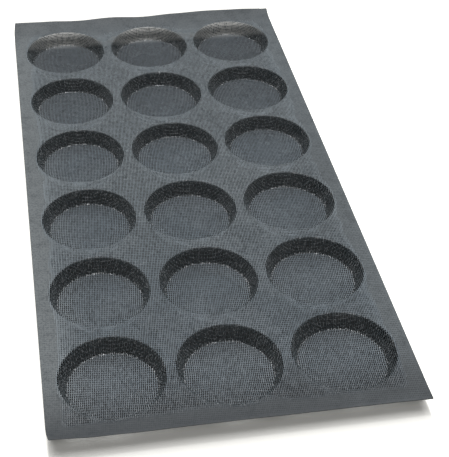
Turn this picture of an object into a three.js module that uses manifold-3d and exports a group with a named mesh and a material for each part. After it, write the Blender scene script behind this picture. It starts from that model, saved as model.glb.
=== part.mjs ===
// Burger bun mould: one sheet of silicone-coated open glass mesh, formed into a grid of shallow round
// cups, with a solid silicone border that keeps the cut edge flat.
// Millimetres, +Z up. The mould stands on its cup floors at z = 0, and its long side runs along Y.
// Row 1 is at +Y and column 1 at -X. The weave is far too fine for solids, so a plain grid of openings
// stands for it in the floors and in the deck.
import Module from "manifold-3d";
import * as THREE from "three";
import { mergeVertices } from "three/addons/utils/BufferGeometryUtils.js";

// Cups
const ROWS = 6;
const COLUMNS = 3;
const MOUTH_DIAMETER = 109.5; // where the line of the wall meets the deck's top face
const CUP_DEPTH = 18; // from the deck's top face to the floor's top face
const WALL_DRAFT = 21; // degrees from upright
const HEEL_RADIUS = 2; // inside bend from floor to wall
const RIM_RADIUS = 2.5; // top bend from wall to deck

// Sheet
const CLOTH_THICKNESS = 1;
const COLUMN_WEB = 9.5; // flat deck between two neighbours of a row
const ROW_WEB = 13; // flat deck between two neighbours of a column
const SIDE_WEB = 2.9; // flat deck between the outer cups and the border's long runs
const END_WEB = 9.6; // flat deck between the outer cups and the border's short runs
const BORDER_WIDTH = 12;
const BORDER_THICKNESS = 1.4;
const BORDER_EDGE = 0.4; // bevel on the border's edges
const CORNER_RADIUS = 3; // the sheet's corners
const SEAM_GAP = 0.3; // between the pieces that the sheet is divided into

// Open mesh
const OPENINGS_ACROSS = 4; // across a cup's floor, an even number, so that its middle stays solid
const OPENING_SHARE = 0.55; // an opening's side over the grid's pitch
const OPENING_MARGIN = 2; // least cloth between an opening and a bend or the deck's edge

// Facets
const ROUND_STEPS = 24; // sides of a cup, a multiple of four
const BEND_STEPS = 2; // sides of a bend in the cup's section, an even number
const CORNER_STEPS = 6; // sides of a corner of the sheet, an even number

// Derived sizes
const draft = THREE.MathUtils.degToRad(WALL_DRAFT);
const bendShare = Math.tan((Math.PI / 2 - draft) / 2); // a bend's tangent length over its radius
const deckTop = CLOTH_THICKNESS + CUP_DEPTH;
const floorRadius = MOUTH_DIAMETER / 2 - CUP_DEPTH * Math.tan(draft);
const heelStart = floorRadius - HEEL_RADIUS * bendShare; // where the flat floor ends
const rimEnd = MOUTH_DIAMETER / 2 + RIM_RADIUS * bendShare; // where the rim's bend is level with the deck
const holeRadius = rimEnd + SEAM_GAP;
const gridPitch = (2 * heelStart) / (OPENINGS_ACROSS + 0.4);
const openingSide = OPENING_SHARE * gridPitch;
const columnPitch = 2 * holeRadius + COLUMN_WEB;
const rowPitch = 2 * holeRadius + ROW_WEB;
const deckWidth = (COLUMNS - 1) * columnPitch + 2 * (holeRadius + SIDE_WEB);
const deckLength = (ROWS - 1) * rowPitch + 2 * (holeRadius + END_WEB);
const sheetWidth = deckWidth + 2 * (SEAM_GAP + BORDER_WIDTH);
const sheetLength = deckLength + 2 * (SEAM_GAP + BORDER_WIDTH);

const meshCloth = new THREE.MeshStandardMaterial({ color: 0x5c6367, roughness: 0.7, metalness: 0 });
const solidSilicone = new THREE.MeshStandardMaterial({ color: 0x64696c, roughness: 0.55, metalness: 0 });

// The middle of each cup on the sheet, row by row from +Y.
function cupPlaces() {
  const places = [];
  for (let row = 0; row < ROWS; row++) {
    for (let column = 0; column < COLUMNS; column++) {
      places.push({
        name: `cup_r${row + 1}_c${column + 1}`,
        x: (column - (COLUMNS - 1) / 2) * columnPitch,
        y: ((ROWS - 1) / 2 - row) * rowPitch,
      });
    }
  }
  return places;
}

// The corners of a square opening, anticlockwise.
function openingCorners({ x, y }) {
  const half = openingSide / 2;
  return [[-1, -1], [1, -1], [1, 1], [-1, 1]].map(([u, v]) => new THREE.Vector2(x + u * half, y + v * half));
}

// The openings of a cup's floor that leave a margin of flat cloth round them.
function floorOpenings() {
  const steps = Array.from({ length: OPENINGS_ACROSS }, (_, i) => (i - (OPENINGS_ACROSS - 1) / 2) * gridPitch);
  const spots = steps.flatMap((x) => steps.map((y) => ({ x, y })));
  return spots.filter((spot) => openingCorners(spot).every((c) => c.length() < heelStart - OPENING_MARGIN));
}

// The openings of the deck: four round each point that lies between cups, where they leave the margin.
function deckOpenings(places) {
  const spots = [];
  for (let row = 0; row <= ROWS; row++) {
    for (let column = 0; column <= COLUMNS; column++) {
      const x = (column - COLUMNS / 2) * columnPitch;
      const y = (ROWS / 2 - row) * rowPitch;
      for (const u of [-gridPitch / 2, gridPitch / 2]) {
        spots.push({ x: x + u, y: y - gridPitch / 2 }, { x: x + u, y: y + gridPitch / 2 });
      }
    }
  }
  const onDeck = (c) => {
    const inside = Math.abs(c.x) < deckWidth / 2 - OPENING_MARGIN && Math.abs(c.y) < deckLength / 2 - OPENING_MARGIN;
    return inside && places.every(({ x, y }) => Math.hypot(c.x - x, c.y - y) > holeRadius + OPENING_MARGIN);
  };
  return spots.filter((spot) => openingCorners(spot).every(onDeck));
}

function solidOf(geometry) {
  const bare = geometry.clone();
  bare.deleteAttribute("normal");
  bare.deleteAttribute("uv");
  const merged = mergeVertices(bare, 1e-3);
  const vertProperties = merged.attributes.position.array;
  return new wasm.Manifold(new wasm.Mesh({ numProp: 3, vertProperties, triVerts: new Uint32Array(merged.index.array) }));
}

function geometryOf(solid) {
  const { vertProperties, triVerts } = solid.getMesh();
  const geometry = new THREE.BufferGeometry();
  geometry.setAttribute("position", new THREE.BufferAttribute(vertProperties, 3));
  geometry.setIndex(new THREE.BufferAttribute(triVerts, 1));
  geometry.computeVertexNormals();
  return geometry;
}

// Flat cloth, whose underside is at the given height, cut by square prisms that pass right through it.
function openedCloth(geometry, spots, underside) {
  const squares = spots.map((spot) => new THREE.Shape(openingCorners(spot)));
  const cutters = new THREE.ExtrudeGeometry(squares, { depth: 3 * CLOTH_THICKNESS, bevelEnabled: false });
  cutters.translate(0, 0, underside - CLOTH_THICKNESS);
  return geometryOf(solidOf(geometry).subtract(solidOf(cutters)));
}

// A cup is its section turned about the middle: underside outwards and up, then the inside back down.
function cupGeometry() {
  const heelCentre = new THREE.Vector2(heelStart, CLOTH_THICKNESS + HEEL_RADIUS);
  const rimCentre = new THREE.Vector2(rimEnd, deckTop - RIM_RADIUS);
  const heelArc = [-Math.PI / 2, -draft];
  const rimArc = [Math.PI - draft, Math.PI / 2];
  const section = new THREE.Path();
  section.moveTo(0, 0);
  section.lineTo(heelCentre.x, 0);
  section.absarc(heelCentre.x, heelCentre.y, HEEL_RADIUS + CLOTH_THICKNESS, heelArc[0], heelArc[1], false);
  section.absarc(rimCentre.x, rimCentre.y, RIM_RADIUS - CLOTH_THICKNESS, rimArc[0], rimArc[1], true);
  section.absarc(rimCentre.x, rimCentre.y, RIM_RADIUS, rimArc[1], rimArc[0], false);
  section.absarc(heelCentre.x, heelCentre.y, HEEL_RADIUS, heelArc[1], heelArc[0], true);
  section.lineTo(0, CLOTH_THICKNESS);
  const turned = new THREE.LatheGeometry(section.getPoints(BEND_STEPS / 2), ROUND_STEPS);
  return openedCloth(turned.rotateX(Math.PI / 2), floorOpenings(), 0);
}

// A rectangle about the origin, with rounded corners where a radius is given.
function rectangle(path, width, length, radius) {
  const x = width / 2 - radius;
  const y = length / 2 - radius;
  if (radius === 0) {
    path.setFromPoints([[-x, -y], [x, -y], [x, y], [-x, y]].map(([u, v]) => new THREE.Vector2(u, v)));
    return path;
  }
  const quarter = Math.PI / 2;
  path.moveTo(x, -y - radius);
  path.absarc(x, -y, radius, -quarter, 0, false);
  path.absarc(x, y, radius, 0, quarter, false);
  path.absarc(-x, y, radius, quarter, 2 * quarter, false);
  path.absarc(-x, -y, radius, 2 * quarter, 3 * quarter, false);
  path.closePath();
  return path;
}

// The flat web that joins the cups, with a round hole for each of them and the mesh's openings.
function deckGeometry(places) {
  const outline = rectangle(new THREE.Shape(), deckWidth, deckLength, 0);
  outline.holes = places.map(({ x, y }) => {
    return new THREE.Path().absarc(x, y, holeRadius, 0, 2 * Math.PI, false);
  });
  const web = new THREE.ExtrudeGeometry(outline, {
    depth: CLOTH_THICKNESS,
    bevelEnabled: false,
    curveSegments: ROUND_STEPS / 2,
  });
  const underside = deckTop - CLOTH_THICKNESS;
  return openedCloth(web.translate(0, 0, underside), deckOpenings(places), underside);
}

// The solid border: a flat frame with bevelled edges, thicker than the cloth by as much above as below.
function borderGeometry() {
  const outline = rectangle(new THREE.Shape(), sheetWidth, sheetLength, CORNER_RADIUS);
  const inside = rectangle(new THREE.Path(), deckWidth + 2 * SEAM_GAP, deckLength + 2 * SEAM_GAP, 0);
  outline.holes = [inside];
  const straightDepth = BORDER_THICKNESS - 2 * BORDER_EDGE;
  const frame = new THREE.ExtrudeGeometry(outline, {
    depth: straightDepth,
    bevelThickness: BORDER_EDGE,
    bevelSize: BORDER_EDGE,
    bevelOffset: -BORDER_EDGE,
    bevelSegments: 1,
    curveSegments: CORNER_STEPS / 2,
  });
  return frame.translate(0, 0, deckTop - CLOTH_THICKNESS / 2 - straightDepth / 2);
}

function namedMesh(name, geometry, material) {
  const mesh = new THREE.Mesh(geometry, material);
  mesh.name = name;
  return mesh;
}

const wasm = await Module();
wasm.setup();

const mould = new THREE.Group();
const places = cupPlaces();
const cup = cupGeometry();
for (const { name, x, y } of places) {
  const mesh = namedMesh(name, cup, meshCloth);
  mesh.position.set(x, y, 0);
  mould.add(mesh);
}
mould.add(namedMesh("deck", deckGeometry(places), meshCloth));
mould.add(namedMesh("border_band", borderGeometry(), solidSilicone));

export default mould;
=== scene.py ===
"""Burger bun mould: one sheet of silicone-coated glass mesh with a grid of round cups and a solid border.

The cloth is real: every warp and weft yarn is a tube that passes over and under the yarns it crosses, lies
flat on the deck and follows the section of each cup down its wall and across its floor.
"""

import math

import bmesh
import bpy
import numpy as np
from mathutils import Matrix, Vector, noise


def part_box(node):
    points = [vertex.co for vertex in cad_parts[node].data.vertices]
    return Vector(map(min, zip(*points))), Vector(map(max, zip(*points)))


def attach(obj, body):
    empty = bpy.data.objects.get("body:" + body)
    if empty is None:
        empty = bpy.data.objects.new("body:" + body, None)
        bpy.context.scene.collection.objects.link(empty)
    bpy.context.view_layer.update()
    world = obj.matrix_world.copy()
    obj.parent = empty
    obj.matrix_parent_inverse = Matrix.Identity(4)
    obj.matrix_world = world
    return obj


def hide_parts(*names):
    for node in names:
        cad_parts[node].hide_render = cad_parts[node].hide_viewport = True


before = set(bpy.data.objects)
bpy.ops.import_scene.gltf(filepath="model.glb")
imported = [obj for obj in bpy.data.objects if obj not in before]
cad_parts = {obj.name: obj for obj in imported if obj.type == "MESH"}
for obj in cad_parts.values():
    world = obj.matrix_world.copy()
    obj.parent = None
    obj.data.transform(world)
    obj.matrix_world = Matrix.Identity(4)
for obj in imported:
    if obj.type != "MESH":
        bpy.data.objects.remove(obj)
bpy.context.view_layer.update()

MM = 0.001
TINY = 1e-6

# Cup section, as in the part
MOUTH_RADIUS = 54.75 * MM
WALL_DRAFT = math.radians(21)
HEEL_RADIUS = 2 * MM
RIM_RADIUS = 2.5 * MM
BEND_STEPS = 10

# Cloth
WEAVE_TURN = math.radians(-5.3)  # the cloth doesn't lie quite square on the sheet
WARP_SPACE = 1.8 * MM  # from one lengthwise yarn to the next
WEFT_SPACE = 2.92 * MM  # from one crosswise yarn to the next
WARP_SIZE = (0.9 * MM, 0.42 * MM)  # width and height
WEFT_SIZE = (0.74 * MM, 0.3 * MM)
WARP_LEVEL = 0.1 * MM  # over the middle of the cloth
WEFT_LEVEL = -0.2 * MM
YARN_SIDES = 6
YARN_CREASE = math.radians(33)  # sharper edges of a yarn are shaded as edges
WEAVE_RISE = 0.06 * MM  # how far a yarn swings over and under
WALL_RISE = 2.5  # how much more it swings on a steep wall
CLOSED_CALM = 0.5  # and how much less where the coat closes the weave
WEAVE_WANDER = 0.3 * MM  # how far the yarns stray sideways
CROSSING_LIFT = 0.5 * MM  # and how much they vary in height
FLOOR_STRETCH = 1.02  # how much the forming opens the weave in the middle of a floor
STRETCH_POWER = 3.0  # how late that changes towards the rim
# Where the flat cloth becomes heel and rim, from and to, and how often a yarn is cut there to bend
BEND_ZONES = ((38 * MM, 46 * MM, 2), (52 * MM, 57 * MM, 1))

# How thick the coat makes a yarn, as a share of its size
CUP_SWELL = 1.0  # in a cup, where the cloth is stretched
DECK_SWELL = 0.95  # on the deck
FILLED_SWELL = 0.05  # more in soft patches
CLOSED_SWELL = 0.35  # more where the coat closes the weave
WALL_THIN = 0.1  # less on a steep wall
YARN_UNEVEN = 1.7  # how much it varies from crossing to crossing
LEAST_SWELL = 0.4

# Where the coat closes the weave
CLOSE_REACH = 14 * MM  # fully from this far outside a rim
SADDLE_REACH = 30 * MM  # up to this far along the saddle between two cups
SADDLE_START = 0.8  # that lies beside a cup, from this share of its radius
MARGIN_REACH = (25 * MM, 58 * MM)  # and from here to here outside the middles of the outer cups

# Border
BORDER_EDGE = 0.5 * MM  # the rounding of its outer edge
EDGE_BEND = 0.3  # where the rounding's middle lies, as a share of it
BORDER_STEP = 3 * MM
BORDER_FEATHER = 8 * MM
BORDER_CORNER = 0.6 * MM
INNER_CORNER = 4 * MM
CORNER_STEPS = 6
BORDER_TUCK = 4 * MM  # how far the border reaches over the ends of the yarns

# The coat bridges the holes of the weave beside the border
FILM_PLACES = (-383 * MM, -330 * MM, 270 * MM, 370 * MM)  # along the sheet
FILM_REACHES = (14 * MM, 13 * MM, 13 * MM, 40 * MM)  # how far in it reaches there
FILM_WANDER = 0.5  # how much that wanders, over the reach itself
FILM_WAVES = 40  # how fine the wander is
FILM_LAYER = 3  # and which layer of the noise it takes
FILM_RIM_GAP = 0.4 * MM  # the film stops short of the cups' rims
FILM_TOP = (0.62 * MM, 0.52 * MM, -0.2 * MM)  # over the cloth's middle, from the border to the film's end
FILM_BELOW = 0.3 * MM

# Free edges curl up: the lift in millimetres at even steps across the sheet, from the left
FAR_LIFT = (8.0, 7.2, 5.3, 7.4, 4.9, 7.1, 8.3, 7.4, 5.4)
FRONT_LIFT = (8.0, 4.6, 3.7, 4.0, 3.6, 2.8, 2.5, 2.0, 0.8)
CURL_START = 2 * MM  # outside the outer cups' mouths
CURL_POWER = 2
CORNER_PULL = 2.5 * MM  # how far a curled left corner draws in
CORNER_START = 120 * MM  # from this far left of the middle

# The finish's map: the upper faces on its left half, the lower ones on its right
MAP_WIDTH = 0.49
MAP_UPPER = 0.005
MAP_LOWER = 0.505

# Noise: how fine it is, how many finer layers it has and how strong those are
FILL_NOISE = (28, 2, 0.5)
LUMP_NOISE = (800, 0, 0.5)
STRAY_NOISE = (60, 5, 0.6)
PATCH_NOISE = (14, 4, 0.55)
GRAIN_NOISE = (1500, 2, 0.6)
SMEAR_NOISE = (9, 3, 0.5)
GLINT_NOISE = (500, 0, 0.5)
STAIN_NOISE = (55, 4, 0.6)
SPECK_NOISE = (480, 1, 0.5)
NOISE_MIDDLE = (0.5, 0.5, 0.5)

# From where to where in that noise an effect comes in
FILL_RANGE = (0.45, 0.7)
PATCH_RANGE = (0.38, 0.68)
GRAIN_RANGE = (0.35, 0.7)
SMEAR_RANGE = (0.52, 0.72)
FRONT_DARK_RANGE = (0.15, 0.45)
GLINT_RANGE = (0.49, 0.68)
STAIN_RANGE = (0.46, 0.66)
SPECK_RANGE = (0.42, 0.68)

# Tones
MESH_TONES = {
    "Tone": (0.143, 0.172, 0.197),
    "Bloom Tone": (0.214, 0.243, 0.261),
    # the colour of smudges and of painted shade
    "Smudge And Shade Tone": (0.070, 0.080, 0.089),
    # painted shade on the steep walls
    "Wall Shade Tone": (0.066, 0.082, 0.090),
    # painted highlight: the pale glints in the heels
    "Glint Tone": (0.440, 0.460, 0.480),
}
BORDER_TONES = {
    "Tone": (0.136, 0.154, 0.165),
    "Bloom Tone": (0.181, 0.198, 0.205),
    # the colour of smudges and of painted shade
    "Smudge And Shade Tone": (0.085, 0.092, 0.098),
}
STAIN_TONE = (0.050, 0.057, 0.063)
# painted shade in the border's dents
DENT_SHADE_TONE = (0.020, 0.022, 0.024)

# Gloss and bloom
MESH_BLOOM = 0.7
MESH_GLOSS = (0.24, 0.34)  # the roughness in the glossy patches and in the dull ones
MESH_SPECULAR = 0.6
HEEL_GLOSS = 0.12
BORDER_BLOOM = 0.6
BORDER_GLOSS = (0.5, 0.65)
BORDER_SPECULAR = 0.15
PATCH_BLOOM = 0.22  # what the soft patches add to the bloom
GRAIN_BLOOM = 0.5  # and what the fine grain adds
DECK_PALING = 0.7  # and how much paler the raised deck of mesh is
DECK_LEVELS = (12 * MM, 18 * MM)
PALING_LENGTH = (-330 * MM, 0)  # from the front to the middle of the sheet
PALE_SIDE = (-115 * MM, -195 * MM)  # the left margin is paler

# The coat is thin where the cloth lies steep, and painted shade darkens it there; painted highlights make
# pale glints in a cup's heel, which is also glossy
STEEP_NAME = "steep"  # the cloth keeps how steep it lies
BACK_NAME = "back"  # and how far back in its cup
WALL_SHADE_STEEP = (0.1, 0.7)
HEEL_START = (0.12, 0.4)
HEEL_END = (0.93, 0.8)
HEEL_HEIGHT = (6 * MM, 4 * MM)
WALL_GLINTS = 0.45  # painted highlights: the pale glints on the walls, over those on the heel

# Smudges, and painted shade
SMEAR = 0.2  # how strong the soft dark patches are
FRONT_DARK_END = -295 * MM  # the front margin is darker up to here
SHADED_END = (345 * MM, 385 * MM)  # the far margin is a little darker from here to here
SHADED = 0.5
BACK_PLACE = (0.1, 0.9)  # painted shade: a floor is darker at its back, as a share of the cup's radius
BACK_DIM = 0.55
FAR_FLOOR = (90 * MM, 260 * MM)  # and painted shade darkens the floors towards the far row too
STAIN = 0.22  # how strong the small dark stains on the border are
STAIN_SPECKS = 0.4  # and its fine specks

# The weave shows through the border as dents, darkened with painted shade
DENT_RANGE = (-0.3, 0.9)  # the part of a wave along the cloth that makes a dent
PRINT_START = (0.5 * MM, 6 * MM)  # from the outer edge: where they begin to show and where they fully do
PRINT_FADE = (280 * MM, 40 * MM)  # they fade from the middle to the far end
PRINT_LEFT = 0.5  # and towards the left edge to this share
PRINT_SHADE = 0.9
DENT_HEIGHT = -0.4
GRAIN_HEIGHT = 0.6
BUMP_STRENGTH = 0.35
BUMP_DISTANCE = 0.1 * MM

# Floor
FLOOR_HALF = 6
FLOOR_ROUGHNESS = 0.9
FLOOR_TONE = (0.9, 0.895, 0.865)
SHADE_TONE = (0.03, 0.03, 0.03)
FLOOR_GLOW = (1, 0.985, 0.93)
FLOOR_LIFT = 0.2  # what the camera sees on top of the floor's own light, so that it clears to white
SIDE_LIFT = 0.5  # painted light: a stronger glow close to the long edges, which clears the shadow there
SIDE_LIFT_START = (-2 * MM, 1 * MM)
SIDE_LIFT_END = (25 * MM, 8 * MM)
SIDE_SHADE = (-11 * MM, -1 * MM)  # from where to where the shade under the sheet clears, outside its edge
FRONT_SHADE = (-33 * MM, -7 * MM)
FRONT_SLANT = 0.012  # the shade's front edge lies a little askew
FAR_SHADE = (2 * MM, 20 * MM)
UNDER_FAR = (-42 * MM, -24 * MM)  # some light falls under the far margin, from here to here
UNDER_LIGHT = 0.42

# Lights
SOFTBOX_PLACE = (0.2, 1.05, 5.9)
SOFTBOX_SIZE = 6.0
SOFTBOX_POWER = 425
LAMP_PLACE = (0.3, 1.1, 5.9)
LAMP_SIZE = 0.6
LAMP_POWER = 60
ROOM_LIGHT = 0.04

# Camera
PHOTO_WIDTH = 449
PHOTO_HEIGHT = 457
CAMERA_PLACE = (-0.17708, -1.05255, 0.85492)
CAMERA_TURN = math.radians(-10.493)
CAMERA_TILT = math.radians(40.806)
CAMERA_ROLL = math.radians(-1.511)
FOCAL_PIXELS = 1074.3
PHOTO_AXIS_X = 195  # the column that the lens looks along: the photograph is cropped off centre
SENSOR_WIDTH = 36
CLIP_START = 0.01


# Sizes from the frame

def cup_names():
    return sorted(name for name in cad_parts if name.startswith("cup_"))


def box_middle(name):
    low, high = (Vector(corner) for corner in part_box(name))
    return (low + high) / 2


CUPS = {name: box_middle(name) for name in cup_names()}
COLUMN_PLACES = sorted({round(place.x, 6) for place in CUPS.values()})
ROW_PLACES = sorted({round(place.y, 6) for place in CUPS.values()})
COLUMN_PITCH = (COLUMN_PLACES[-1] - COLUMN_PLACES[0]) / (len(COLUMN_PLACES) - 1)
ROW_PITCH = (ROW_PLACES[-1] - ROW_PLACES[0]) / (len(ROW_PLACES) - 1)
CUP_LOW, CUP_HIGH = (Vector(corner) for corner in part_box("cup_r1_c1"))
RIM_END = (CUP_HIGH.x - CUP_LOW.x) / 2
DECK_LOW, DECK_HIGH = (Vector(corner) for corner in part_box("deck"))
DECK_TOP = DECK_HIGH.z
CLOTH = DECK_HIGH.z - DECK_LOW.z
DECK_MIDDLE = DECK_TOP - CLOTH / 2
BAND_LOW, BAND_HIGH = (Vector(corner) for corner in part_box("border_band"))
SHEET_HALF_WIDTH = BAND_HIGH.x
SHEET_HALF_LENGTH = BAND_HIGH.y
CROSSWISE = Vector((math.cos(WEAVE_TURN), math.sin(WEAVE_TURN), 0))
LENGTHWISE = Vector((-math.sin(WEAVE_TURN), math.cos(WEAVE_TURN), 0))


# Short ways to make node trees

class Graph:
    """A node tree with short ways to add nodes, sums and links."""

    def __init__(self, tree):
        self.tree = tree

    def feed(self, socket, value):
        if isinstance(value, bpy.types.NodeSocket):
            self.tree.links.new(value, socket)
        else:
            socket.default_value = value

    def add(self, kind, inputs=None, **settings):
        node = self.tree.nodes.new(kind)
        for name, value in settings.items():
            setattr(node, name, value)
        for key, value in (inputs or {}).items():
            self.feed(node.inputs[key], value)
        return node

    def math(self, operation, *values):
        return self.add("ShaderNodeMath", dict(enumerate(values)), operation=operation).outputs[0]

    def fold(self, operation, first, *others):
        """One operation over several values, from the left."""
        result = first
        for other in others:
            result = self.math(operation, result, other)
        return result

    def plus(self, *values):
        return self.fold("ADD", *values)

    def times(self, *values):
        return self.fold("MULTIPLY", *values)

    def largest(self, *values):
        return self.fold("MAXIMUM", *values)

    def minus(self, first, second):
        return self.math("SUBTRACT", first, second)

    def over(self, first, second):
        return self.math("DIVIDE", first, second)

    def vector(self, operation, *values):
        node = self.add("ShaderNodeVectorMath", dict(enumerate(values)), operation=operation)
        return node.outputs["Vector"]

    def dot(self, first, second):
        node = self.add("ShaderNodeVectorMath", {0: first, 1: second}, operation="DOT_PRODUCT")
        return node.outputs["Value"]

    def length(self, vector):
        return self.add("ShaderNodeVectorMath", {0: vector}, operation="LENGTH").outputs["Value"]

    def scale(self, vector, factor):
        node = self.add("ShaderNodeVectorMath", {0: vector, "Scale": factor}, operation="SCALE")
        return node.outputs["Vector"]

    def upward(self, height):
        return self.add("ShaderNodeCombineXYZ", {"Z": height}).outputs[0]

    def split(self, vector):
        return tuple(self.add("ShaderNodeSeparateXYZ", {0: vector}).outputs)

    def ramp(self, value, start, end):
        """0 at start and 1 at end, smoothly."""
        node = self.add("ShaderNodeMapRange", {"Value": value, "From Min": start, "From Max": end},
                        interpolation_type="SMOOTHSTEP")
        return node.outputs["Result"]

    def noise_at(self, place, scale, detail, roughness):
        inputs = {"Vector": place, "Scale": scale, "Detail": detail, "Roughness": roughness}
        return self.add("ShaderNodeTexNoise", inputs).outputs

    def kept_value(self, name):
        """What a piece keeps under a name, or 0 where it keeps nothing."""
        return self.add("ShaderNodeAttribute", attribute_name=name).outputs["Fac"]

    def blend(self, share, first, second):
        """The first colour, and the second in the given share."""
        node = self.add("ShaderNodeMix", {"Factor": share}, data_type="RGBA")
        colors = [socket for socket in node.inputs if socket.type == "RGBA"]
        self.feed(colors[0], first)
        self.feed(colors[1], second)
        return next(socket for socket in node.outputs if socket.type == "RGBA")

    def either(self, kind, choice, if_false, if_true):
        node = self.add("GeometryNodeSwitch", {"Switch": choice, "False": if_false, "True": if_true},
                        input_type=kind)
        return node.outputs["Output"]

    def logic(self, operation, *values):
        return self.add("FunctionNodeBooleanMath", dict(enumerate(values)), operation=operation).outputs[0]

    def whole(self, value):
        return self.add("FunctionNodeFloatToInt", {0: value}, rounding_mode="ROUND").outputs[0]

    def moved(self, geometry, place):
        return self.add("GeometryNodeSetPosition", {"Geometry": geometry, "Position": place}).outputs[0]

    def without_points(self, geometry, unwanted):
        node = self.add("GeometryNodeDeleteGeometry", {"Geometry": geometry, "Selection": unwanted},
                        domain="POINT")
        return node.outputs[0]

    def without_edges(self, geometry, unwanted):
        node = self.add("GeometryNodeDeleteGeometry", {"Geometry": geometry, "Selection": unwanted},
                        domain="EDGE", mode="EDGE_FACE")
        return node.outputs[0]

    def keep_value(self, geometry, name, value):
        node = self.add("GeometryNodeStoreNamedAttribute", {
            "Geometry": geometry,
            "Name": name,
            "Value": value,
        }, data_type="FLOAT", domain="POINT")
        return node.outputs[0]


def add_sockets(tree, way, labels_by_kind):
    for kind, labels in labels_by_kind.items():
        for label in labels:
            tree.interface.new_socket(label, in_out=way, socket_type=kind)


def geometry_tree(name, inputs):
    """A geometry tree with geometry in and out and the named inputs, as its graph and its input sockets."""
    tree = bpy.data.node_groups.new(name, "GeometryNodeTree")
    add_sockets(tree, "INPUT", {"NodeSocketGeometry": ("Geometry",), **inputs})
    add_sockets(tree, "OUTPUT", {"NodeSocketGeometry": ("Geometry",)})
    graph = Graph(tree)
    group_input = graph.add("NodeGroupInput")
    return graph, {socket.name: socket for socket in group_input.outputs}


def run_tree(tree, name, base_mesh, values):
    """The plain mesh that a geometry tree makes from a base mesh with the given inputs."""
    maker = bpy.data.objects.new(name, base_mesh)
    bpy.context.scene.collection.objects.link(maker)
    modifier = maker.modifiers.new(tree.name, "NODES")
    modifier.node_group = tree
    for item in tree.interface.items_tree:
        if item.in_out == "INPUT" and item.name in values:
            modifier[item.identifier] = values[item.name]
    evaluated = maker.evaluated_get(bpy.context.evaluated_depsgraph_get())
    mesh = bpy.data.meshes.new_from_object(evaluated)
    maker.modifiers.remove(modifier)
    bpy.data.objects.remove(maker)
    return mesh


# The cloth

CLOTH_INPUTS = {
    "NodeSocketVector": (
        "Region Middle", "Region Half", "Along", "Across", "First Cup", "Cup Pitch", "Last Cup Step",
    ),
    "NodeSocketBool": ("Inside Cups",),
    "NodeSocketFloat": (
        "Along Space", "Across Space", "Rim End", "Section Length", "Floor Stretch", "Deck Middle",
        "Yarn Width", "Yarn Height", "Yarn Level", "Weave Rise", "Wall Rise", "Weave Wander", "Yarn Uneven",
        "Crossing Lift", "Open Swell", "Filled Swell", "Closed Swell", "Close Reach", "Saddle Reach",
        "Margin Start", "Margin End", "Wall Thin",
    ),
    "NodeSocketMaterial": ("Material",),
}


def crossing_lines(graph, given, place):
    """Lines along the run, through the crossings of a turned grid, that end on the region's edges."""
    along, across = given["Along"], given["Across"]
    run_step, side_step = given["Along Space"], given["Across Space"]
    middle, half = given["Region Middle"], given["Region Half"]

    # The grid covers the region, and its crossings lie half a space from the sheet's middle
    reach_out = graph.length(half)
    grid_inputs = {}
    shift = []
    for axis, way, step in (("X", across, side_step), ("Y", along, run_step)):
        steps_out = graph.math("CEIL", graph.over(reach_out, step))
        count = graph.plus(graph.times(steps_out, 2.0), 2.0)
        grid_inputs[f"Vertices {axis}"] = graph.whole(count)
        grid_inputs[f"Size {axis}"] = graph.times(graph.minus(count, 1.0), step)
        nearest = graph.math("ROUND", graph.over(graph.dot(middle, way), step))
        shift.append(graph.times(nearest, step))
    grid = graph.add("GeometryNodeMeshGrid", grid_inputs)
    flat_x, flat_y, _ = graph.split(place)
    turned = graph.vector("ADD", graph.scale(across, graph.plus(flat_x, shift[0])),
                          graph.scale(along, graph.plus(flat_y, shift[1])))
    lattice = graph.moved(grid.outputs["Mesh"], turned)

    # Only the edges along the run stay
    ends = graph.add("GeometryNodeInputMeshEdgeVertices").outputs
    edge = graph.vector("SUBTRACT", ends["Position 2"], ends["Position 1"])
    sideways = graph.math("ABSOLUTE", graph.dot(edge, across))
    lines = graph.without_edges(lattice, graph.math("GREATER_THAN", sideways, TINY))

    # A line's last point slides back along it to the region's edge
    from_region = graph.vector("SUBTRACT", place, middle)
    outside = graph.vector("SUBTRACT", graph.vector("ABSOLUTE", from_region), half)
    outside = graph.vector("MAXIMUM", outside, (0, 0, 0))
    pace = graph.vector("MAXIMUM", graph.vector("ABSOLUTE", along), (TINY, TINY, 1))
    slide_x, slide_y, _ = graph.split(graph.vector("DIVIDE", outside, pace))
    back = graph.vector("MULTIPLY", graph.vector("SIGN", from_region), graph.vector("SIGN", along))
    back_x, back_y, _ = graph.split(back)
    more_x = graph.math("GREATER_THAN", slide_x, slide_y)
    furthest = graph.largest(slide_x, slide_y)
    lines = graph.without_points(lines, graph.math("GREATER_THAN", furthest, run_step))
    way_back = graph.times(graph.either("FLOAT", more_x, back_y, back_x), furthest)
    lines = graph.add("GeometryNodeSetPosition", {
        "Geometry": lines,
        "Offset": graph.scale(along, graph.times(way_back, -1.0)),
    })
    return lines.outputs[0]


def nearest_cup(graph, given, place):
    """The middle of the nearest cup."""
    first, pitch = given["First Cup"], given["Cup Pitch"]
    steps = graph.vector("DIVIDE", graph.vector("SUBTRACT", place, first), pitch)
    steps = graph.vector("FLOOR", graph.vector("ADD", steps, (0.5, 0.5, 0)))
    steps = graph.vector("MINIMUM", graph.vector("MAXIMUM", steps, (0, 0, 0)), given["Last Cup Step"])
    return graph.vector("ADD", first, graph.vector("MULTIPLY", steps, pitch))


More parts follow.
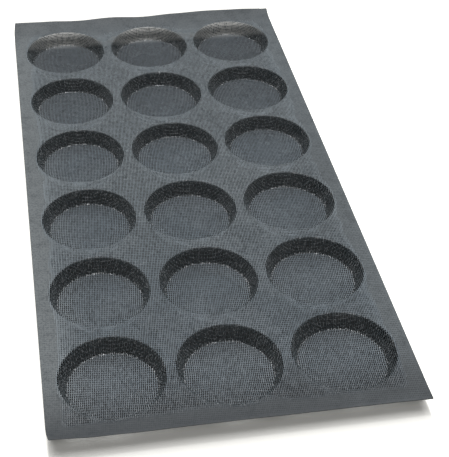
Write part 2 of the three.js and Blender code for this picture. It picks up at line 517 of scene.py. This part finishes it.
def cut_at_rims(graph, given, lines, centre, from_centre):
    """The lines inside the cups or those outside them, ending on the rim's circle."""
    along, across, run_step = given["Along"], given["Across"], given["Along Space"]
    inside, rim_end = given["Inside Cups"], given["Rim End"]
    run = graph.dot(from_centre, along)
    side = graph.dot(from_centre, across)
    left_over = graph.minus(graph.math("POWER", rim_end, 2.0), graph.math("POWER", side, 2.0))
    chord = graph.math("SQRT", graph.largest(left_over, 0.0))
    run_size = graph.math("ABSOLUTE", run)
    past_rim = graph.math("GREATER_THAN", run_size, graph.plus(chord, run_step))
    beside_cup = graph.math("LESS_THAN", left_over, TINY * TINY)
    deep_in_cup = graph.math("LESS_THAN", run_size, graph.minus(chord, run_step))
    unwanted = graph.either("BOOLEAN", inside, deep_in_cup, graph.logic("OR", past_rim, beside_cup))
    lines = graph.without_points(lines, unwanted)
    outer_end = graph.largest(run_size, chord)
    inner_end = graph.math("MINIMUM", run_size, chord)
    run_end = graph.times(graph.either("FLOAT", inside, outer_end, inner_end), graph.math("SIGN", run))
    snapped = graph.vector("ADD", centre, graph.scale(across, side))
    snapped = graph.vector("ADD", snapped, graph.scale(along, run_end))
    lines = graph.moved(lines, snapped)
    over_cup = graph.math("LESS_THAN", graph.length(from_centre), graph.minus(rim_end, TINY))
    return graph.without_edges(lines, graph.logic("AND", over_cup, graph.logic("NOT", inside)))


def closed_share(graph, given, place, from_centre, reach):
    """How far the coat closes the weave: in the saddles between a row's cups and beside the margins."""
    rim_end = given["Rim End"]
    cup_x, cup_y, _ = graph.split(graph.vector("ABSOLUTE", from_centre))
    level = graph.minus(1.0, graph.ramp(cup_y, 0.0, given["Saddle Reach"]))
    clear = graph.ramp(graph.minus(reach, rim_end), 0.0, given["Close Reach"])
    beside = graph.math("GREATER_THAN", cup_x, graph.times(rim_end, SADDLE_START))
    in_saddle = graph.times(level, clear, beside)
    sideways_place, _, _ = graph.split(graph.vector("ABSOLUTE", place))
    in_margin = graph.ramp(sideways_place, given["Margin Start"], given["Margin End"])
    return graph.either("FLOAT", given["Inside Cups"], graph.largest(in_saddle, in_margin), 0.0)


def coat_swell(graph, given, place, steep, closed, lump):
    """How thick the coat makes a yarn, as a share of its size."""
    filled = graph.ramp(graph.noise_at(place, *FILL_NOISE)["Fac"], *FILL_RANGE)
    thinned = graph.minus(given["Open Swell"], graph.times(steep, given["Wall Thin"]))
    swell = graph.plus(
        thinned,
        graph.times(closed, given["Closed Swell"]),
        graph.times(filled, given["Filled Swell"]),
        graph.times(lump, given["Yarn Uneven"]))
    return graph.largest(swell, LEAST_SWELL)


def yarn_swing(graph, given, place, steep, closed):
    """The swing over and under, opposite on neighbours and on the other run."""
    number = graph.math("FLOOR", graph.over(graph.dot(place, given["Across"]), given["Across Space"]))
    turn = graph.minus(1.0, graph.times(graph.math("FLOORED_MODULO", number, 2.0), 2.0))
    phase = graph.times(graph.over(graph.dot(place, given["Along"]), given["Along Space"]), math.pi)
    swing = graph.times(graph.math("SINE", phase), graph.times(turn, given["Weave Rise"]))
    calm = graph.minus(1.0, graph.times(closed, CLOSED_CALM))
    return graph.times(swing, calm, graph.plus(1.0, graph.times(steep, given["Wall Rise"])))


def coated_tubes(graph, given, yarns):
    """The yarns' lines as tubes with a coated yarn's own section, and the finish."""
    ring = graph.add("GeometryNodeCurvePrimitiveCircle", {
        "Resolution": YARN_SIDES,
        "Radius": 0.5,
    }, mode="RADIUS")
    ring = graph.add("GeometryNodeTransform", {
        "Geometry": ring.outputs["Curve"],
        "Rotation": (0, 0, math.pi / 2),
    })
    yarn_size = graph.add("ShaderNodeCombineXYZ", {
        "X": given["Yarn Height"],
        "Y": given["Yarn Width"],
        "Z": 1.0,
    })
    yarn_section = graph.add("GeometryNodeTransform", {
        "Geometry": ring.outputs["Geometry"],
        "Scale": yarn_size.outputs[0],
    })
    tubes = graph.add("GeometryNodeCurveToMesh", {
        "Curve": yarns,
        "Profile Curve": yarn_section.outputs["Geometry"],
        "Scale": graph.add("GeometryNodeInputRadius").outputs[0],
        "Fill Caps": True,
    })
    smooth = graph.add("GeometryNodeSetShadeSmooth", {
        "Geometry": tubes.outputs[0],
        "Shade Smooth": True,
    }, domain="FACE")
    angle = graph.add("GeometryNodeInputMeshEdgeAngle").outputs["Unsigned Angle"]
    crisp = graph.add("GeometryNodeSetShadeSmooth", {
        "Geometry": smooth.outputs[0],
        "Selection": graph.math("GREATER_THAN", angle, YARN_CREASE),
        "Shade Smooth": False,
    }, domain="EDGE")
    plain = graph.add("GeometryNodeRealizeInstances", {"Geometry": crisp.outputs[0]})
    finished = graph.add("GeometryNodeSetMaterial", {
        "Geometry": plain.outputs[0],
        "Material": given["Material"],
    })
    return finished.outputs[0]


def cloth_tree():
    """One run of yarns, lengthwise or crosswise, inside the cups or on the deck around them."""
    graph, given = geometry_tree("woven_cloth", CLOTH_INPUTS)
    inside, rim_end, floor_stretch = given["Inside Cups"], given["Rim End"], given["Floor Stretch"]
    place = graph.add("GeometryNodeInputPosition").outputs[0]
    centre = nearest_cup(graph, given, place)
    from_centre = graph.vector("SUBTRACT", place, centre)
    reach = graph.length(from_centre)
    lines = cut_at_rims(graph, given, crossing_lines(graph, given, place), centre, from_centre)
    yarns = graph.add("GeometryNodeMeshToCurve", {"Mesh": lines}).outputs[0]

    # More points where a yarn bends
    cuts = 0
    for start, end, zone_cuts in BEND_ZONES:
        past_start = graph.math("GREATER_THAN", reach, start)
        before_end = graph.math("LESS_THAN", reach, end)
        in_zone = graph.logic("AND", graph.logic("AND", past_start, before_end), inside)
        cuts = graph.either("INT", in_zone, cuts, zone_cuts)
    yarns = graph.add("GeometryNodeSubdivideCurve", {"Curve": yarns, "Cuts": cuts}).outputs[0]

    # Down the wall and across the floor: the flat cloth's radius becomes a length along the section
    share = graph.over(reach, rim_end)
    pull = graph.minus(graph.over(given["Section Length"], rim_end), floor_stretch)
    stretch = graph.plus(floor_stretch, graph.times(pull, graph.math("POWER", share, STRETCH_POWER)))
    section = graph.add("GeometryNodeMeshToCurve", {"Mesh": given["Geometry"]})
    sample = graph.add("GeometryNodeSampleCurve", {
        "Curves": section.outputs[0],
        "Length": graph.times(reach, stretch),
    }, mode="LENGTH", use_all_curves=True)
    section_x, _, section_z = graph.split(sample.outputs["Position"])
    slope_x, _, slope_z = graph.split(sample.outputs["Tangent"])
    steep = graph.either("FLOAT", inside, 0.0, slope_z)

    # The coat's thickness, and what the finish needs to know
    closed = closed_share(graph, given, place, from_centre, reach)
    lumps = graph.noise_at(place, *LUMP_NOISE)["Color"]
    lump, lump_lift, _ = graph.split(graph.vector("SUBTRACT", lumps, NOISE_MIDDLE))
    swell = coat_swell(graph, given, place, steep, closed, lump)
    yarns = graph.add("GeometryNodeSetCurveRadius", {"Curve": yarns, "Radius": swell}).outputs[0]
    yarns = graph.keep_value(yarns, STEEP_NAME, steep)
    back_in_cup = graph.largest(graph.over(graph.dot(from_centre, (0, 1, 0)), rim_end), 0.0)
    yarns = graph.keep_value(yarns, BACK_NAME, graph.either("FLOAT", inside, 0.0, back_in_cup))

    # Laid on the section, with an unevenness that is the same for both runs
    strays = graph.noise_at(place, *STRAY_NOISE)["Color"]
    stray = graph.vector("MULTIPLY", graph.vector("SUBTRACT", strays, NOISE_MIDDLE), (1, 1, 0))
    outward = graph.vector("NORMALIZE", from_centre)
    inward = graph.scale(outward, graph.times(slope_z, -1.0))
    up_from_cup = graph.vector("ADD", inward, graph.upward(slope_x))
    up = graph.either("VECTOR", inside, (0, 0, 1), up_from_cup)
    in_cup = graph.vector("ADD", centre, graph.scale(outward, section_x))
    in_cup = graph.vector("ADD", in_cup, graph.upward(section_z))
    on_deck = graph.vector("ADD", place, graph.upward(given["Deck Middle"]))
    laid = graph.either("VECTOR", inside, on_deck, in_cup)
    swing = yarn_swing(graph, given, place, steep, closed)
    height = graph.plus(swing, given["Yarn Level"], graph.times(lump_lift, given["Crossing Lift"]))
    laid = graph.vector("ADD", laid, graph.scale(up, height))
    laid = graph.vector("ADD", laid, graph.scale(stray, given["Weave Wander"]))
    yarns = graph.add("GeometryNodeSetCurveNormal", {"Curve": yarns, "Normal": up}, mode="FREE").outputs[0]
    yarns = graph.moved(yarns, laid)
    graph.add("NodeGroupOutput", {0: coated_tubes(graph, given, yarns)})
    return graph.tree


def arc_points(centre, radius, start, end):
    return [(centre[0] + radius * math.cos(angle), centre[1] + radius * math.sin(angle))
            for angle in np.linspace(start, end, BEND_STEPS + 1)]


def section_points():
    """The middle line of a cup's cloth, from the middle of the floor to the deck, as (radius, height)."""
    bend = math.tan((math.pi / 2 - WALL_DRAFT) / 2)
    depth = DECK_TOP - CLOTH
    floor_radius = MOUTH_RADIUS - depth * math.tan(WALL_DRAFT)
    heel_centre = (floor_radius - HEEL_RADIUS * bend, CLOTH + HEEL_RADIUS)
    rim_centre = (RIM_END, DECK_TOP - RIM_RADIUS)
    heel = arc_points(heel_centre, HEEL_RADIUS + CLOTH / 2, -math.pi / 2, -WALL_DRAFT)
    rim = arc_points(rim_centre, RIM_RADIUS - CLOTH / 2, math.pi - WALL_DRAFT, math.pi / 2)
    return [(0, CLOTH / 2), *heel, *rim]


def line_mesh(name, points):
    mesh = bpy.data.meshes.new(name)
    edges = [(i, i + 1) for i in range(len(points) - 1)]
    mesh.from_pydata([(radius, 0, height) for radius, height in points], edges, [])
    return mesh


def length_of(points):
    return sum(math.dist(here, after) for here, after in zip(points, points[1:]))


def joined(name, meshes):
    """One mesh from several, which are then removed."""
    bm = bmesh.new()
    for mesh in meshes:
        bm.from_mesh(mesh)
    whole = bpy.data.meshes.new(name)
    bm.to_mesh(whole)
    bm.free()
    for mesh in meshes:
        bpy.data.meshes.remove(mesh)
    return whole


def woven_mesh(tree, section, name, middle, half, inside, material):
    """Both runs of yarns over a region of the sheet."""
    values = {
        "Region Middle": middle,
        "Region Half": half,
        "Inside Cups": inside,
        "First Cup": (COLUMN_PLACES[0], ROW_PLACES[0], 0),
        "Cup Pitch": (COLUMN_PITCH, ROW_PITCH, 1),
        "Last Cup Step": (len(COLUMN_PLACES) - 1, len(ROW_PLACES) - 1, 0),
        "Rim End": RIM_END,
        "Section Length": length_of(section),
        "Floor Stretch": FLOOR_STRETCH,
        "Deck Middle": DECK_MIDDLE,
        "Wall Rise": WALL_RISE,
        "Weave Wander": WEAVE_WANDER,
        "Yarn Uneven": YARN_UNEVEN,
        "Crossing Lift": CROSSING_LIFT,
        "Open Swell": CUP_SWELL if inside else DECK_SWELL,
        "Filled Swell": FILLED_SWELL,
        "Closed Swell": CLOSED_SWELL,
        "Close Reach": CLOSE_REACH,
        "Saddle Reach": SADDLE_REACH,
        "Margin Start": COLUMN_PLACES[-1] + MARGIN_REACH[0],
        "Margin End": COLUMN_PLACES[-1] + MARGIN_REACH[1],
        "Wall Thin": WALL_THIN,
        "Material": material,
    }
    lengthwise = {
        "Along": LENGTHWISE,
        "Across": CROSSWISE,
        "Along Space": WEFT_SPACE,
        "Across Space": WARP_SPACE,
        "Yarn Width": WARP_SIZE[0],
        "Yarn Height": WARP_SIZE[1],
        "Yarn Level": WARP_LEVEL,
        "Weave Rise": WEAVE_RISE,
    }
    crosswise = {
        "Along": CROSSWISE,
        "Across": LENGTHWISE,
        "Along Space": WARP_SPACE,
        "Across Space": WEFT_SPACE,
        "Yarn Width": WEFT_SIZE[0],
        "Yarn Height": WEFT_SIZE[1],
        "Yarn Level": WEFT_LEVEL,
        "Weave Rise": -WEAVE_RISE,
    }
    runs = []
    for run in (lengthwise, crosswise):
        base = line_mesh("cup_section", section)
        runs.append(run_tree(tree, name, base, {**values, **run}))
        bpy.data.meshes.remove(base)
    return joined(name, runs)


# The curl of the free edges

def lift_across(lifts, x):
    """The lift at places across the sheet, eased from step to step."""
    steps = np.clip((x / SHEET_HALF_WIDTH + 1) / 2, 0, 1) * (len(lifts) - 1)
    whole = np.minimum(steps.astype(int), len(lifts) - 2)
    part = (1 - np.cos(np.pi * (steps - whole))) / 2
    table = np.array(lifts) * MM
    return table[whole] * (1 - part) + table[whole + 1] * part


def curl(x, y):
    """How far the curl of the short edges lifts places on the sheet, and how far it draws them right."""
    start = ROW_PLACES[-1] + MOUTH_RADIUS + CURL_START
    share = np.clip((np.abs(y) - start) / (SHEET_HALF_LENGTH - start), 0, 1) ** CURL_POWER
    lift = share * np.where(y > 0, lift_across(FAR_LIFT, x), lift_across(FRONT_LIFT, x))
    corner = np.clip((-x - CORNER_START) / (SHEET_HALF_WIDTH - CORNER_START), 0, 1)
    return lift, share * corner * CORNER_PULL


def vertex_places(mesh):
    places = np.empty(len(mesh.vertices) * 3)
    mesh.vertices.foreach_get("co", places)
    return places.reshape(-1, 3)


def lift_edges(mesh):
    places = vertex_places(mesh)
    lift, draw = curl(places[:, 0], places[:, 1])
    places[:, 0] += draw
    places[:, 2] += lift
    mesh.vertices.foreach_set("co", places.ravel())
    mesh.update()


def flat_uv(mesh):
    """A map seen from above for the finish, with the lower faces beside the upper ones."""
    places = vertex_places(mesh)
    loop_vertex = np.empty(len(mesh.loops), dtype=np.int32)
    mesh.loops.foreach_get("vertex_index", loop_vertex)
    low, size = places.min(axis=0), np.ptp(places, axis=0)
    uv = (places[loop_vertex, :2] - low[:2]) / size[:2]
    normals = np.empty(len(mesh.polygons) * 3)
    mesh.polygons.foreach_get("normal", normals)
    loop_total = np.empty(len(mesh.polygons), dtype=np.int32)
    mesh.polygons.foreach_get("loop_total", loop_total)
    below = np.repeat(normals.reshape(-1, 3)[:, 2] < 0, loop_total)
    uv[:, 0] = uv[:, 0] * MAP_WIDTH + np.where(below, MAP_LOWER, MAP_UPPER)
    layer = mesh.uv_layers.new(name="OFBake")
    layer.data.foreach_set("uv", uv.astype(np.float32).ravel())


def piece(name, mesh, material, slot, *nodes):
    """A finished piece in the scene, with its edges curled, that stands for CAD nodes."""
    lift_edges(mesh)
    flat_uv(mesh)
    obj = bpy.data.objects.new(name, mesh)
    bpy.context.scene.collection.objects.link(obj)
    if not mesh.materials:
        mesh.materials.append(material)
    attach(obj, "root")
    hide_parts(*nodes)


def make_cloth(material):
    tree = cloth_tree()
    section = section_points()
    half = Vector((RIM_END + WEFT_SPACE, RIM_END + WEFT_SPACE, 0))
    for name, place in CUPS.items():
        centre = Vector((place.x, place.y, 0))
        mesh = woven_mesh(tree, section, f"{name}_cloth", centre, half, True, material)
        piece(f"{name}_cloth", mesh, material, "mesh_cloth", name)
    half_x = DECK_HIGH.x + BORDER_TUCK
    half_y = DECK_HIGH.y + BORDER_TUCK
    cuts = (-half_y, -ROW_PITCH, ROW_PITCH, half_y)
    for part, bottom, top in zip(("front", "middle", "rear"), cuts, cuts[1:]):
        name = f"deck_cloth_{part}"
        middle = Vector((0, (bottom + top) / 2, 0))
        half = Vector((half_x, (top - bottom) / 2, 0))
        mesh = woven_mesh(tree, section, name, middle, half, False, material)
        piece(name, mesh, material, "mesh_cloth", "deck")


# The border

def border_stations():
    """Matching points on the sheet's outer outline and on the border's inner one, right round."""
    x_in, y_in = DECK_HIGH.x, DECK_HIGH.y
    x_mid, y_mid = SHEET_HALF_WIDTH - BORDER_CORNER, SHEET_HALF_LENGTH - BORDER_CORNER
    x_turn, y_turn = x_in - INNER_CORNER, y_in - INNER_CORNER
    stations = []
    for turn, (side_x, side_y) in enumerate(((1, -1), (1, 1), (-1, 1), (-1, -1))):
        start = (turn - 1) * math.pi / 2
        for angle in np.linspace(start, start + math.pi / 2, CORNER_STEPS + 1):
            out = Vector((math.cos(angle), math.sin(angle)))
            outer = Vector((side_x * x_mid, side_y * y_mid)) + out * BORDER_CORNER
            stations.append((outer, Vector((side_x * x_turn, side_y * y_turn)) + out * INNER_CORNER))
        if turn % 2 == 0:
            room = 2 * y_mid
            inner_from = Vector((side_x * x_in, side_y * y_turn))
            inner_to = Vector((side_x * x_in, -side_y * y_turn))
            outer_step = Vector((0, -side_y * room))
        else:
            room = 2 * x_mid
            inner_from = Vector((side_x * x_turn, side_y * y_in))
            inner_to = Vector((-side_x * x_turn, side_y * y_in))
            outer_step = Vector((-side_x * room, 0))
        outer_from = stations[-1][0]
        count = int(room / BORDER_STEP)
        for k in range(1, count):
            stations.append((outer_from + outer_step * k / count, inner_from.lerp(inner_to, k / count)))
    return stations


def film_reach(spot, inward):
    """How far the film reaches from a place on the border's inner outline: not over a cup's rim."""
    room = float(np.interp(spot.y, FILM_PLACES, FILM_REACHES))
    room *= 1 + FILM_WANDER * noise.noise((spot.x * FILM_WAVES, spot.y * FILM_WAVES, FILM_LAYER))
    clear = RIM_END + FILM_RIM_GAP
    for place in CUPS.values():
        to_cup = Vector((place.x - spot.x, place.y - spot.y))
        ahead = to_cup.dot(inward)
        beside = to_cup.length_squared - ahead ** 2
        if ahead > 0 and beside < clear ** 2:
            room = min(room, ahead - math.sqrt(clear ** 2 - beside))
    return max(room, BORDER_EDGE)


def border_section():
    """The border's section as (share, height above its middle).

    The share is 0 at the outer edge, 1 at the end of the solid border and 2 at the end of the film.
    """
    half = (BAND_HIGH.z - BAND_LOW.z) / 2
    width = SHEET_HALF_WIDTH - DECK_HIGH.x
    edge, feather = BORDER_EDGE / width, BORDER_FEATHER / width
    start, halfway, end = FILM_TOP
    top = [
        (0, half - BORDER_EDGE),
        (edge * EDGE_BEND, half - BORDER_EDGE * EDGE_BEND),
        (edge, half),
        (1 - feather, half),
        (1 - feather / 2, (half + start) / 2),
        (1, start),
        (1.5, halfway),
        (2, end),
    ]
    bottom = [
        (2, -FILM_BELOW),
        (1, -FILM_BELOW),
        (1 - feather, -half),
        (edge, -half),
        (edge * EDGE_BEND, -half + BORDER_EDGE * EDGE_BEND),
        (0, -half + BORDER_EDGE),
    ]
    return top + bottom


def make_border(material):
    section = border_section()
    middle = (BAND_LOW.z + BAND_HIGH.z) / 2
    bm = bmesh.new()
    rings = []
    for outer, inner in border_stations():
        inward = (inner - outer).normalized()
        film_end = inner + inward * film_reach(inner, inward)
        ring = []
        for share, height in section:
            spot = outer.lerp(inner, share) if share < 1 else inner.lerp(film_end, share - 1)
            ring.append(bm.verts.new((spot.x, spot.y, middle + height)))
        rings.append(ring)
    for ring, after in zip(rings, rings[1:] + rings[:1]):
        for i in range(len(section)):
            j = (i + 1) % len(section)
            bm.faces.new((ring[i], after[i], after[j], ring[j]))
    bmesh.ops.remove_doubles(bm, verts=bm.verts, dist=TINY)
    bmesh.ops.recalc_face_normals(bm, faces=bm.faces)
    mesh = bpy.data.meshes.new("border_silicone")
    bm.to_mesh(mesh)
    bm.free()
    mesh.shade_smooth()
    piece("border_silicone", mesh, material, "border_silicone", "border_band")


# Finishes

SKIN_INPUTS = {
    "NodeSocketColor": ("Tone", "Bloom Tone", "Smudge And Shade Tone", "Wall Shade Tone", "Glint Tone"),
    "NodeSocketFloat": ("Bloom", "Deck Paling", "Gloss Low", "Gloss High"),
}
SKIN_OUTPUTS = {
    "NodeSocketColor": ("Color",),
    "NodeSocketFloat": ("Roughness", "Grain", "Heel"),
}


def smudge_and_shade_share(graph, place):
    """Where the coat is smudged or darker: smears and a darker front margin, and painted shade on the far
    margin, at the backs of floors and on the floors towards the far row.
    """
    _, y, z = graph.split(place)
    smears = graph.noise_at(place, *SMEAR_NOISE)["Fac"]
    smear = graph.times(graph.ramp(smears, *SMEAR_RANGE), SMEAR)
    # darker towards the front edge, in mottled patches
    front_darker = graph.minus(1.0, graph.ramp(y, -SHEET_HALF_LENGTH, FRONT_DARK_END))
    front_darker = graph.times(front_darker, graph.ramp(smears, *FRONT_DARK_RANGE))
    shaded = graph.times(graph.ramp(y, *SHADED_END), SHADED)
    # painted shade: darker at the back of a floor and towards the far row
    back_shade = graph.times(graph.ramp(graph.kept_value(BACK_NAME), *BACK_PLACE), BACK_DIM)
    far_floor_shade = graph.times(graph.ramp(y, *FAR_FLOOR), graph.ramp(z, *DECK_LEVELS[::-1]), BACK_DIM)
    return graph.largest(smear, shaded, front_darker, back_shade, far_floor_shade)


def glint_share(graph, place, steep):
    """Where painted pale glints go, with a clear gloss: in the bend of a cup's heel, and fewer on its wall.
    """
    _, _, z = graph.split(place)
    on_heel = graph.times(graph.ramp(steep, *HEEL_START), graph.ramp(steep, *HEEL_END))
    on_heel = graph.times(on_heel, graph.ramp(z, *HEEL_HEIGHT))
    on_wall = graph.times(graph.ramp(steep, *HEEL_END[::-1]), WALL_GLINTS)
    glint_spots = graph.ramp(graph.noise_at(place, *GLINT_NOISE)["Fac"], *GLINT_RANGE)
    return graph.times(graph.largest(on_heel, on_wall), glint_spots)


def silicone_skin():
    """Silicone with a bloom in soft patches and a fine grain, smudges, a darker front margin, painted shade
    on the far margin, at the backs of floors and on the steep walls, and painted glints on the heels.
    """
    tree = bpy.data.node_groups.new("silicone_skin", "ShaderNodeTree")
    add_sockets(tree, "INPUT", SKIN_INPUTS)
    add_sockets(tree, "OUTPUT", SKIN_OUTPUTS)
    graph = Graph(tree)
    given = graph.add("NodeGroupInput").outputs
    out = graph.add("NodeGroupOutput").inputs
    place = graph.add("ShaderNodeTexCoord").outputs["Object"]
    x, y, z = graph.split(place)
    patch = graph.ramp(graph.noise_at(place, *PATCH_NOISE)["Fac"], *PATCH_RANGE)
    grain = graph.noise_at(place, *GRAIN_NOISE)["Fac"]
    speck = graph.ramp(grain, *GRAIN_RANGE)
    bloom = graph.plus(graph.times(patch, PATCH_BLOOM), graph.times(speck, GRAIN_BLOOM))
    # the raised deck is paler from the front towards the middle
    paler_deck = graph.times(graph.ramp(z, *DECK_LEVELS), graph.ramp(y, *PALING_LENGTH))
    bloom = graph.plus(graph.times(bloom, given["Bloom"]), graph.times(paler_deck, given["Deck Paling"]))
    bloom = graph.largest(bloom, graph.ramp(x, *PALE_SIDE))
    bloomed = graph.blend(bloom, given["Tone"], given["Bloom Tone"])
    smudged_and_shaded = graph.blend(smudge_and_shade_share(graph, place), bloomed, given["Smudge And Shade Tone"])
    steep = graph.kept_value(STEEP_NAME)
    # painted shade: the steep walls are darkened
    wall_shaded = graph.blend(graph.ramp(steep, *WALL_SHADE_STEEP), smudged_and_shaded, given["Wall Shade Tone"])
    glints_and_gloss = glint_share(graph, place, steep)
    gloss = graph.add("ShaderNodeMapRange", {
        "Value": patch,
        "To Min": given["Gloss Low"],
        "To Max": given["Gloss High"],
    })
    # painted highlights: pale glints on the heels and walls
    graph.feed(out["Color"], graph.blend(glints_and_gloss, wall_shaded, given["Glint Tone"]))
    graph.feed(out["Roughness"], gloss.outputs["Result"])
    graph.feed(out["Grain"], grain)
    graph.feed(out["Heel"], glints_and_gloss)
    return tree


def new_material(name):
    """A plain material, its graph and its shader."""
    material = bpy.data.materials.new(name)
    material.use_nodes = True
    return material, Graph(material.node_tree), material.node_tree.nodes["Principled BSDF"]


def silicone_material(name, skin, tones, bloom, gloss, specular):
    material, graph, shader = new_material(name)
    coat = graph.add("ShaderNodeGroup", node_tree=skin)
    for label, tone in tones.items():
        coat.inputs[label].default_value = (*tone, 1)
    coat.inputs["Bloom"].default_value = bloom
    coat.inputs["Gloss Low"].default_value = gloss[0]
    coat.inputs["Gloss High"].default_value = gloss[1]
    graph.feed(shader.inputs["Base Color"], coat.outputs["Color"])
    graph.feed(shader.inputs["Roughness"], coat.outputs["Roughness"])
    shader.inputs["Specular IOR Level"].default_value = specular
    return material, graph, shader, coat


def mesh_material(skin):
    """Glossy coated cloth, paler on the deck, with painted pale glints and a clear gloss on the heels."""
    material, graph, shader, coat = silicone_material(
        "coated_mesh", skin, MESH_TONES, MESH_BLOOM, MESH_GLOSS, MESH_SPECULAR)
    coat.inputs["Deck Paling"].default_value = DECK_PALING
    graph.feed(shader.inputs["Coat Weight"], coat.outputs["Heel"])
    shader.inputs["Coat Roughness"].default_value = HEEL_GLOSS
    return material


def print_share(graph, place):
    """How strongly the weave shows through: not at the outer edge, less on the left, not at the far end."""
    x, y, _ = graph.split(place)
    sheet_corner = (SHEET_HALF_WIDTH, SHEET_HALF_LENGTH, 0)
    from_edges = graph.vector("SUBTRACT", sheet_corner, graph.vector("ABSOLUTE", place))
    from_side, from_end, _ = graph.split(from_edges)
    off_edge = graph.ramp(graph.math("MINIMUM", from_side, from_end), *PRINT_START)
    from_left = graph.ramp(x, -SHEET_HALF_WIDTH, 0.0)
    from_left = graph.plus(PRINT_LEFT, graph.times(from_left, 1 - PRINT_LEFT))
    return graph.times(off_edge, graph.ramp(y, *PRINT_FADE), from_left)


def border_material(skin):
    """Dull solid silicone with small stains; the weave shows faintly through it as dents, darkened with
    painted shade.
    """
    material, graph, shader, coat = silicone_material(
        "solid_silicone", skin, BORDER_TONES, BORDER_BLOOM, BORDER_GLOSS, BORDER_SPECULAR)
    place = graph.add("ShaderNodeTexCoord").outputs["Object"]
    waves = []
    for way, space in ((CROSSWISE, WARP_SPACE), (LENGTHWISE, WEFT_SPACE)):
        wave = graph.math("COSINE", graph.times(graph.dot(place, way), 2 * math.pi / space))
        waves.append(graph.ramp(wave, *DENT_RANGE))
    dents = graph.times(*waves)
    # painted shade: the dents are darkened
    dent_shade = graph.times(dents, print_share(graph, place), PRINT_SHADE)
    stains = graph.ramp(graph.noise_at(place, *STAIN_NOISE)["Fac"], *STAIN_RANGE)
    specks = graph.ramp(graph.noise_at(place, *SPECK_NOISE)["Fac"], *SPECK_RANGE)
    stain = graph.plus(graph.times(stains, STAIN), graph.times(specks, STAIN_SPECKS))
    stained = graph.blend(stain, coat.outputs["Color"], (*STAIN_TONE, 1))
    graph.feed(shader.inputs["Base Color"], graph.blend(dent_shade, stained, (*DENT_SHADE_TONE, 1)))
    height = graph.plus(graph.times(dents, DENT_HEIGHT), graph.times(coat.outputs["Grain"], GRAIN_HEIGHT))
    bump = graph.add("ShaderNodeBump", {
        "Height": height,
        "Strength": BUMP_STRENGTH,
        "Distance": BUMP_DISTANCE,
    })
    graph.feed(shader.inputs["Normal"], bump.outputs["Normal"])
    return material


# Stage

def floor_material():
    """A pale floor with shade under the sheet, which the camera sees cleared to white outside it."""
    material, graph, shader = new_material("pale_floor")
    shader.inputs["Roughness"].default_value = FLOOR_ROUGHNESS
    shader.inputs["Specular IOR Level"].default_value = 0.0
    shader.inputs["Emission Color"].default_value = (*FLOOR_GLOW, 1)
    path = graph.add("ShaderNodeLightPath").outputs
    seen = graph.plus(path["Is Camera Ray"], path["Is Glossy Ray"], path["Is Transmission Ray"])
    x, y, _ = graph.split(graph.add("ShaderNodeTexCoord").outputs["Object"])
    past_side = graph.minus(graph.math("ABSOLUTE", x), SHEET_HALF_WIDTH)
    front_place = graph.plus(y, graph.times(x, FRONT_SLANT))
    past_front = graph.minus(graph.times(front_place, -1.0), SHEET_HALF_LENGTH)
    past_far = graph.minus(y, SHEET_HALF_LENGTH)
    clear = graph.largest(
        graph.ramp(past_front, *FRONT_SHADE),
        graph.ramp(past_far, *FAR_SHADE),
        graph.ramp(past_side, *SIDE_SHADE),
        graph.times(graph.ramp(past_far, *UNDER_FAR), UNDER_LIGHT))
    # painted light: the floor glows more beside the long edges, clearing their shadow
    beside = graph.times(graph.ramp(past_side, *SIDE_LIFT_START), graph.ramp(past_side, *SIDE_LIFT_END))
    lift = graph.plus(FLOOR_LIFT, graph.times(beside, SIDE_LIFT))
    graph.feed(shader.inputs["Emission Strength"], graph.times(seen, clear, lift))
    tone = graph.add("ShaderNodeValToRGB", {"Fac": clear})
    tone.color_ramp.elements[0].color = (*SHADE_TONE, 1)
    tone.color_ramp.elements[1].color = (*FLOOR_TONE, 1)
    graph.feed(shader.inputs["Base Color"], tone.outputs["Color"])
    return material


def make_floor():
    bm = bmesh.new()
    bmesh.ops.create_grid(bm, x_segments=1, y_segments=1, size=FLOOR_HALF)
    mesh = bpy.data.meshes.new("floor")
    bm.to_mesh(mesh)
    bm.free()
    floor = bpy.data.objects.new("floor", mesh)
    bpy.context.scene.collection.objects.link(floor)
    mesh.materials.append(floor_material())


def area_light(name, place, size, power):
    """A square light that looks at the middle of the sheet."""
    data = bpy.data.lights.new(name, "AREA")
    data.shape = "RECTANGLE"
    data.size = size
    data.size_y = size
    data.energy = power
    lamp = bpy.data.objects.new(name, data)
    lamp.location = place
    lamp.rotation_euler = (-Vector(place)).to_track_quat("-Z", "Y").to_euler()
    bpy.context.scene.collection.objects.link(lamp)


def make_lights():
    area_light("top_softbox", SOFTBOX_PLACE, SOFTBOX_SIZE, SOFTBOX_POWER)
    area_light("top_lamp", LAMP_PLACE, LAMP_SIZE, LAMP_POWER)
    world = bpy.data.worlds.new("studio")
    bpy.context.scene.world = world
    world.use_nodes = True
    background = world.node_tree.nodes["Background"]
    background.inputs["Color"].default_value = (1, 1, 1, 1)
    background.inputs["Strength"].default_value = ROOM_LIGHT


def make_camera():
    data = bpy.data.cameras.new("camera")
    largest = max(PHOTO_WIDTH, PHOTO_HEIGHT)
    data.sensor_width = SENSOR_WIDTH
    data.lens = FOCAL_PIXELS * SENSOR_WIDTH / largest
    data.shift_x = (PHOTO_WIDTH / 2 - PHOTO_AXIS_X) / largest
    data.clip_start = CLIP_START
    camera = bpy.data.objects.new("camera", data)
    level = math.cos(CAMERA_TILT)
    ahead = Vector((-math.sin(CAMERA_TURN) * level, math.cos(CAMERA_TURN) * level, -math.sin(CAMERA_TILT)))
    facing = ahead.to_track_quat("-Z", "Y").to_matrix().to_4x4()
    camera.matrix_world = Matrix.Translation(CAMERA_PLACE) @ facing @ Matrix.Rotation(-CAMERA_ROLL, 4, "Z")
    bpy.context.scene.collection.objects.link(camera)
    bpy.context.scene.camera = camera


bpy.context.scene.view_settings.view_transform = "Standard"
skin = silicone_skin()
make_cloth(mesh_material(skin))
make_border(border_material(skin))
make_floor()
make_lights()
make_camera()
